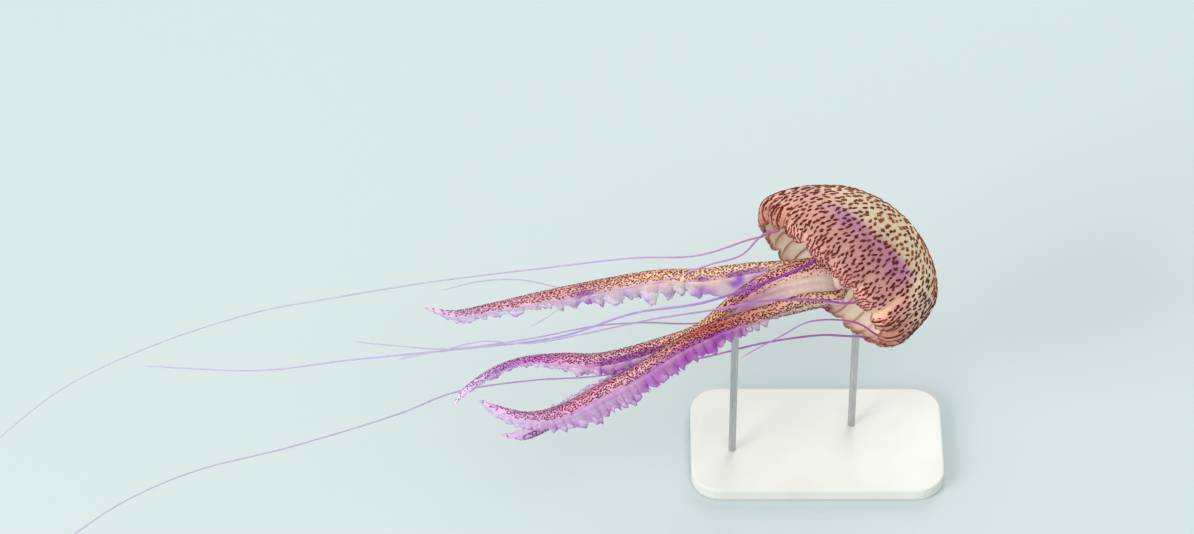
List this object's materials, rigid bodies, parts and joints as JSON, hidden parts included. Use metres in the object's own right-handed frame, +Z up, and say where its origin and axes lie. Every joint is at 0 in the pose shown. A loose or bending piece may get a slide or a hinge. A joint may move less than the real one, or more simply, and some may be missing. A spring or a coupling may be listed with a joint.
{
  "type": "mauve stinger jellyfish model on a stand",
  "caption": "Life-size still model of a swimming mauve stinger jellyfish with a warty domed bell, frilled oral arms and long thin tentacles, held by two rods on a flat plate.",
  "frame": {"origin": "middle of the stand plate's underside, on the floor", "axes": "+Z up; +X towards the end that the bell swims to, along the animal's length; -X is where the arms and tentacles trail"},
  "size_m": [0.3892, 0.1198, 0.1387],
  "materials": {
    "bell_jelly": "wet translucent jelly, salmon and cream with dark red-brown warts and a violet band",
    "manubrium_jelly": "wet translucent jelly, pale pink with fine red-brown dots",
    "oral_arm_jelly": "wet translucent jelly, speckled red-brown rib and lilac frills",
    "tentacle_jelly": "wet, violet at the root fading to pale lilac",
    "stand_paint": "satin off-white paint",
    "stand_steel": "satin steel"
  },
  "bodies": {
    "root": {"bell": "bell_jelly", "manubrium": "manubrium_jelly", "oral_arm_1_base": "oral_arm_jelly", "oral_arm_1_mid": "oral_arm_jelly", "oral_arm_1_tip": "oral_arm_jelly", "oral_arm_2_base": "oral_arm_jelly", "oral_arm_2_mid": "oral_arm_jelly", "oral_arm_2_tip": "oral_arm_jelly", "oral_arm_3_base": "oral_arm_jelly", "oral_arm_3_mid": "oral_arm_jelly", "oral_arm_3_tip": "oral_arm_jelly", "oral_arm_4_base": "oral_arm_jelly", "oral_arm_4_mid": "oral_arm_jelly", "oral_arm_4_tip": "oral_arm_jelly", "tentacle_1_base": "tentacle_jelly", "tentacle_1_mid": "tentacle_jelly", "tentacle_1_tip": "tentacle_jelly", "tentacle_2_base": "tentacle_jelly", "tentacle_2_mid": "tentacle_jelly", "tentacle_2_tip": "tentacle_jelly", "tentacle_3_base": "tentacle_jelly", "tentacle_3_mid": "tentacle_jelly", "tentacle_3_tip": "tentacle_jelly", "tentacle_4_base": "tentacle_jelly", "tentacle_4_mid": "tentacle_jelly", "tentacle_4_tip": "tentacle_jelly", "tentacle_5_base": "tentacle_jelly", "tentacle_5_mid": "tentacle_jelly", "tentacle_5_tip": "tentacle_jelly", "tentacle_6_base": "tentacle_jelly", "tentacle_6_mid": "tentacle_jelly", "tentacle_6_tip": "tentacle_jelly", "tentacle_7_base": "tentacle_jelly", "tentacle_7_mid": "tentacle_jelly", "tentacle_7_tip": "tentacle_jelly", "tentacle_8_base": "tentacle_jelly", "tentacle_8_mid": "tentacle_jelly", "tentacle_8_tip": "tentacle_jelly", "stand_plate": "stand_paint", "stand_rod_bell": "stand_steel", "stand_rod_arms": "stand_steel"}
  },
  "joints": []
}
